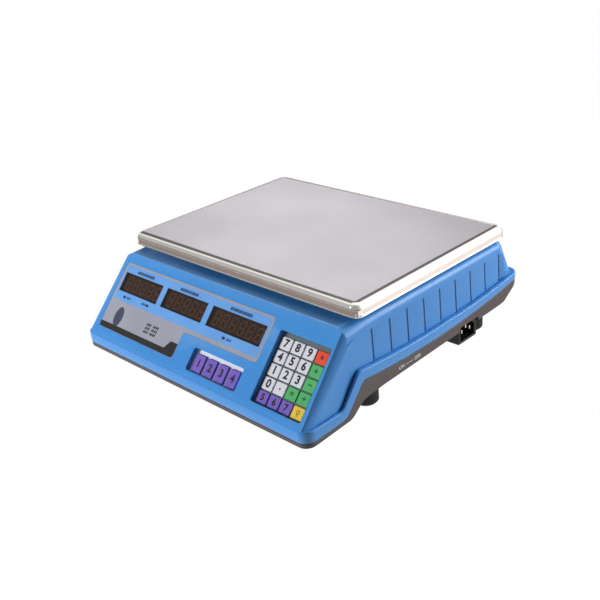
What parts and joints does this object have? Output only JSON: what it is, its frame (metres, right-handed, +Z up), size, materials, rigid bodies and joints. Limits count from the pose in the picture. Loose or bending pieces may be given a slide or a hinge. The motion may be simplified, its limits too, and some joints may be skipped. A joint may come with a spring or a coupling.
{
  "type": "retail price scale",
  "caption": "Counter-top price-computing scale with a lift-off steel pan, sloped display and key panel, rear display, mains inlet and screw levelling feet.",
  "frame": {"origin": "on the table under the middle of the case", "axes": "+X to the right as the seller sees it, +Y to the customer's side at the back, +Z up"},
  "size_m": [0.349, 0.344, 0.1179],
  "materials": {
    "cover_plastic": "semi-gloss moulded blue",
    "base_plastic": "textured dark grey-brown moulding",
    "overlay_film": "printed film, silver and light blue",
    "smoke_filter": "brown tinted display filter",
    "led_module": "black face with unlit segments",
    "circuit_board": "green solder mask",
    "keypad_rubber": "dark grey rubber",
    "white_pad": "white rubber",
    "key_white": "white key cap",
    "key_red": "red key cap",
    "key_green": "green key cap",
    "key_violet": "violet key cap",
    "key_yellow": "yellow key cap",
    "transformer_iron": "varnished laminations",
    "battery_case": "sealed cell case",
    "black_plastic": "black moulding",
    "pin_metal": "bright plated pins",
    "cell_alloy": "machined alloy",
    "plain_steel": "zinc plated",
    "cap_rubber": "black rubber",
    "foot_plastic": "black knurled knob",
    "pan_stainless": "bright stainless sheet, satin top and polished rim"
  },
  "bodies": {
    "case": {"base_tray": "base_plastic", "top_cover": "cover_plastic", "front_overlay": "overlay_film", "front_filters": "smoke_filter", "front_digits": "led_module", "front_board": "circuit_board", "rear_overlay": "overlay_film", "rear_filters": "smoke_filter", "rear_digits": "led_module", "rear_board": "circuit_board", "keypad_mat": "keypad_rubber", "memory_pad": "white_pad", "keypad_board": "circuit_board", "transformer": "transformer_iron", "battery": "battery_case", "battery_door": "base_plastic", "inlet_body": "black_plastic", "inlet_pins": "pin_metal", "switch_body": "black_plastic", "load_cell": "cell_alloy", "cell_spacer": "plain_steel", "case_screws": "plain_steel", "cell_bolts": "plain_steel"},
    "platform": {"pan_spider": "plain_steel", "post_caps": "cap_rubber", "spider_bolts": "plain_steel"},
    "pan": {"weigh_pan": "pan_stainless"},
    "rocker": {"switch_rocker": "black_plastic"},
    "stud_front_right": {"foot_stud_front_right": "plain_steel"},
    "knob_front_right": {"foot_knob_front_right": "foot_plastic"},
    "stud_front_left": {"foot_stud_front_left": "plain_steel"},
    "knob_front_left": {"foot_knob_front_left": "foot_plastic"},
    "stud_rear_right": {"foot_stud_rear_right": "plain_steel"},
    "knob_rear_right": {"foot_knob_rear_right": "foot_plastic"},
    "stud_rear_left": {"foot_stud_rear_left": "plain_steel"},
    "knob_rear_left": {"foot_knob_rear_left": "foot_plastic"},
    "key_7": {"key_7": "key_white"},
    "key_8": {"key_8": "key_white"},
    "key_9": {"key_9": "key_white"},
    "key_clear": {"key_clear": "key_red"},
    "key_4": {"key_4": "key_white"},
    "key_5": {"key_5": "key_white"},
    "key_6": {"key_6": "key_white"},
    "key_add": {"key_add": "key_green"},
    "key_1": {"key_1": "key_white"},
    "key_2": {"key_2": "key_white"},
    "key_3": {"key_3": "key_white"},
    "key_tare": {"key_tare": "key_green"},
    "key_0": {"key_0": "key_white"},
    "key_point": {"key_point": "key_white"},
    "key_recall": {"key_recall": "key_green"},
    "key_zero": {"key_zero": "key_green"},
    "key_store": {"key_store": "key_violet"},
    "key_change": {"key_change": "key_violet"},
    "key_hold": {"key_hold": "key_violet"},
    "key_light": {"key_light": "key_yellow"},
    "key_memory_1": {"key_memory_1": "key_violet"},
    "key_memory_2": {"key_memory_2": "key_violet"},
    "key_memory_3": {"key_memory_3": "key_violet"},
    "key_memory_4": {"key_memory_4": "key_violet"}
  },
  "joints": [
    {"name": "weigh_travel", "type": "slide", "parent": "case", "child": "platform", "axis": [0, 0, -1], "range_m": [0, 0.001], "stiffness_N_per_m": 400000, "deforming": ["load_cell"]},
    {"name": "pan_lift", "type": "slide", "parent": "platform", "child": "pan", "axis": [0, 0, 1], "range_m": [0, 0.06]},
    {"name": "power_rocker", "type": "hinge", "parent": "case", "child": "rocker", "pos_m": [0.1505, -0.02404, 0.02744], "axis": [1, 0, 0], "range_deg": [0, 20]},
    {"name": "foot_rise_front_right", "type": "slide", "parent": "case", "child": "stud_front_right", "axis": [0, 0, -1], "range_m": [0, 0.008]},
    {"name": "foot_turn_front_right", "type": "hinge", "parent": "stud_front_right", "child": "knob_front_right", "pos_m": [0.151, -0.0655, 0], "axis": [0, 0, -1], "range_deg": [0, 2310]},
    {"name": "foot_rise_front_left", "type": "slide", "parent": "case", "child": "stud_front_left", "axis": [0, 0, -1], "range_m": [0, 0.008]},
    {"name": "foot_turn_front_left", "type": "hinge", "parent": "stud_front_left", "child": "knob_front_left", "pos_m": [-0.151, -0.0655, 0], "axis": [0, 0, -1], "range_deg": [0, 2310]},
    {"name": "foot_rise_rear_right", "type": "slide", "parent": "case", "child": "stud_rear_right", "axis": [0, 0, -1], "range_m": [0, 0.008]},
    {"name": "foot_turn_rear_right", "type": "hinge", "parent": "stud_rear_right", "child": "knob_rear_right", "pos_m": [0.144, 0.123, 0], "axis": [0, 0, -1], "range_deg": [0, 2310]},
    {"name": "foot_rise_rear_left", "type": "slide", "parent": "case", "child": "stud_rear_left", "axis": [0, 0, -1], "range_m": [0, 0.008]},
    {"name": "foot_turn_rear_left", "type": "hinge", "parent": "stud_rear_left", "child": "knob_rear_left", "pos_m": [-0.144, 0.123, 0], "axis": [0, 0, -1], "range_deg": [0, 2310]},
    {"name": "key_7_press", "type": "slide", "parent": "case", "child": "key_7", "axis": [0, 0.7431, -0.6691], "range_m": [0, 0.0015], "stiffness_N_per_m": 600, "springref_m": -0.0008},
    {"name": "key_8_press", "type": "slide", "parent": "case", "child": "key_8", "axis": [0, 0.7431, -0.6691], "range_m": [0, 0.0015], "stiffness_N_per_m": 600, "springref_m": -0.0008},
    {"name": "key_9_press", "type": "slide", "parent": "case", "child": "key_9", "axis": [0, 0.7431, -0.6691], "range_m": [0, 0.0015], "stiffness_N_per_m": 600, "springref_m": -0.0008},
    {"name": "key_clear_press", "type": "slide", "parent": "case", "child": "key_clear", "axis": [0, 0.7431, -0.6691], "range_m": [0, 0.0015], "stiffness_N_per_m": 600, "springref_m": -0.0008},
    {"name": "key_4_press", "type": "slide", "parent": "case", "child": "key_4", "axis": [0, 0.7431, -0.6691], "range_m": [0, 0.0015], "stiffness_N_per_m": 600, "springref_m": -0.0008},
    {"name": "key_5_press", "type": "slide", "parent": "case", "child": "key_5", "axis": [0, 0.7431, -0.6691], "range_m": [0, 0.0015], "stiffness_N_per_m": 600, "springref_m": -0.0008},
    {"name": "key_6_press", "type": "slide", "parent": "case", "child": "key_6", "axis": [0, 0.7431, -0.6691], "range_m": [0, 0.0015], "stiffness_N_per_m": 600, "springref_m": -0.0008},
    {"name": "key_add_press", "type": "slide", "parent": "case", "child": "key_add", "axis": [0, 0.7431, -0.6691], "range_m": [0, 0.0015], "stiffness_N_per_m": 600, "springref_m": -0.0008},
    {"name": "key_1_press", "type": "slide", "parent": "case", "child": "key_1", "axis": [0, 0.7431, -0.6691], "range_m": [0, 0.0015], "stiffness_N_per_m": 600, "springref_m": -0.0008},
    {"name": "key_2_press", "type": "slide", "parent": "case", "child": "key_2", "axis": [0, 0.7431, -0.6691], "range_m": [0, 0.0015], "stiffness_N_per_m": 600, "springref_m": -0.0008},
    {"name": "key_3_press", "type": "slide", "parent": "case", "child": "key_3", "axis": [0, 0.7431, -0.6691], "range_m": [0, 0.0015], "stiffness_N_per_m": 600, "springref_m": -0.0008},
    {"name": "key_tare_press", "type": "slide", "parent": "case", "child": "key_tare", "axis": [0, 0.7431, -0.6691], "range_m": [0, 0.0015], "stiffness_N_per_m": 600, "springref_m": -0.0008},
    {"name": "key_0_press", "type": "slide", "parent": "case", "child": "key_0", "axis": [0, 0.7431, -0.6691], "range_m": [0, 0.0015], "stiffness_N_per_m": 600, "springref_m": -0.0008},
    {"name": "key_point_press", "type": "slide", "parent": "case", "child": "key_point", "axis": [0, 0.7431, -0.6691], "range_m": [0, 0.0015], "stiffness_N_per_m": 600, "springref_m": -0.0008},
    {"name": "key_recall_press", "type": "slide", "parent": "case", "child": "key_recall", "axis": [0, 0.7431, -0.6691], "range_m": [0, 0.0015], "stiffness_N_per_m": 600, "springref_m": -0.0008},
    {"name": "key_zero_press", "type": "slide", "parent": "case", "child": "key_zero", "axis": [0, 0.7431, -0.6691], "range_m": [0, 0.0015], "stiffness_N_per_m": 600, "springref_m": -0.0008},
    {"name": "key_store_press", "type": "slide", "parent": "case", "child": "key_store", "axis": [0, 0.7431, -0.6691], "range_m": [0, 0.0015], "stiffness_N_per_m": 600, "springref_m": -0.0008},
    {"name": "key_change_press", "type": "slide", "parent": "case", "child": "key_change", "axis": [0, 0.7431, -0.6691], "range_m": [0, 0.0015], "stiffness_N_per_m": 600, "springref_m": -0.0008},
    {"name": "key_hold_press", "type": "slide", "parent": "case", "child": "key_hold", "axis": [0, 0.7431, -0.6691], "range_m": [0, 0.0015], "stiffness_N_per_m": 600, "springref_m": -0.0008},
    {"name": "key_light_press", "type": "slide", "parent": "case", "child": "key_light", "axis": [0, 0.7431, -0.6691], "range_m": [0, 0.0015], "stiffness_N_per_m": 600, "springref_m": -0.0008},
    {"name": "key_memory_1_press", "type": "slide", "parent": "case", "child": "key_memory_1", "axis": [0, 0.7431, -0.6691], "range_m": [0, 0.0015], "stiffness_N_per_m": 600, "springref_m": -0.0008},
    {"name": "key_memory_2_press", "type": "slide", "parent": "case", "child": "key_memory_2", "axis": [0, 0.7431, -0.6691], "range_m": [0, 0.0015], "stiffness_N_per_m": 600, "springref_m": -0.0008},
    {"name": "key_memory_3_press", "type": "slide", "parent": "case", "child": "key_memory_3", "axis": [0, 0.7431, -0.6691], "range_m": [0, 0.0015], "stiffness_N_per_m": 600, "springref_m": -0.0008},
    {"name": "key_memory_4_press", "type": "slide", "parent": "case", "child": "key_memory_4", "axis": [0, 0.7431, -0.6691], "range_m": [0, 0.0015], "stiffness_N_per_m": 600, "springref_m": -0.0008}
  ],
  "couplings": [
    {"joint": "foot_turn_front_right", "follows": "foot_rise_front_right", "rad_per_m": 5026.5},
    {"joint": "foot_turn_front_left", "follows": "foot_rise_front_left", "rad_per_m": 5026.5},
    {"joint": "foot_turn_rear_right", "follows": "foot_rise_rear_right", "rad_per_m": 5026.5},
    {"joint": "foot_turn_rear_left", "follows": "foot_rise_rear_left", "rad_per_m": 5026.5}
  ]
}
